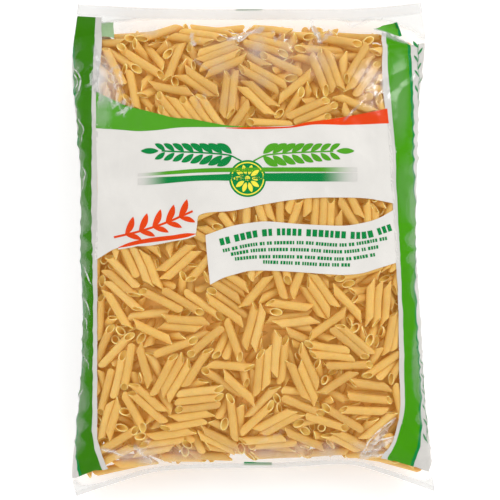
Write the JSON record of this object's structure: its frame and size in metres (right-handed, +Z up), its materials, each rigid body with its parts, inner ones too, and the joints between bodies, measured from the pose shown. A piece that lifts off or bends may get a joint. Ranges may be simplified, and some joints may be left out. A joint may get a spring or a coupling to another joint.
{
  "type": "pasta packet",
  "caption": "Full pillow bag of short pasta quills lying on its back, clear printed film with a flat seal across each end.",
  "frame": {"origin": "on the surface that the bag lies on, under the middle of the bounding box", "axes": "+Z up out of the printed front, +Y towards the top end of the bag, +X to the right of someone reading the front"},
  "size_m": [0.364, 0.4954, 0.0919],
  "materials": {
    "filled_film": "clear film drawn tight over dry pasta",
    "clear_film": "clear glossy packing film, a little milky where it stands off the pasta",
    "dry_pasta": "dull smooth dry durum wheat pasta",
    "ink_white": "white ink behind glossy film",
    "ink_green": "leaf green ink behind glossy film",
    "ink_deep_green": "deep green ink behind glossy film",
    "ink_red": "warm red ink behind glossy film",
    "ink_yellow": "yellow ink behind glossy film"
  },
  "bodies": {
    "root": {"pasta_packet": "filled_film"}
  },
  "joints": []
}
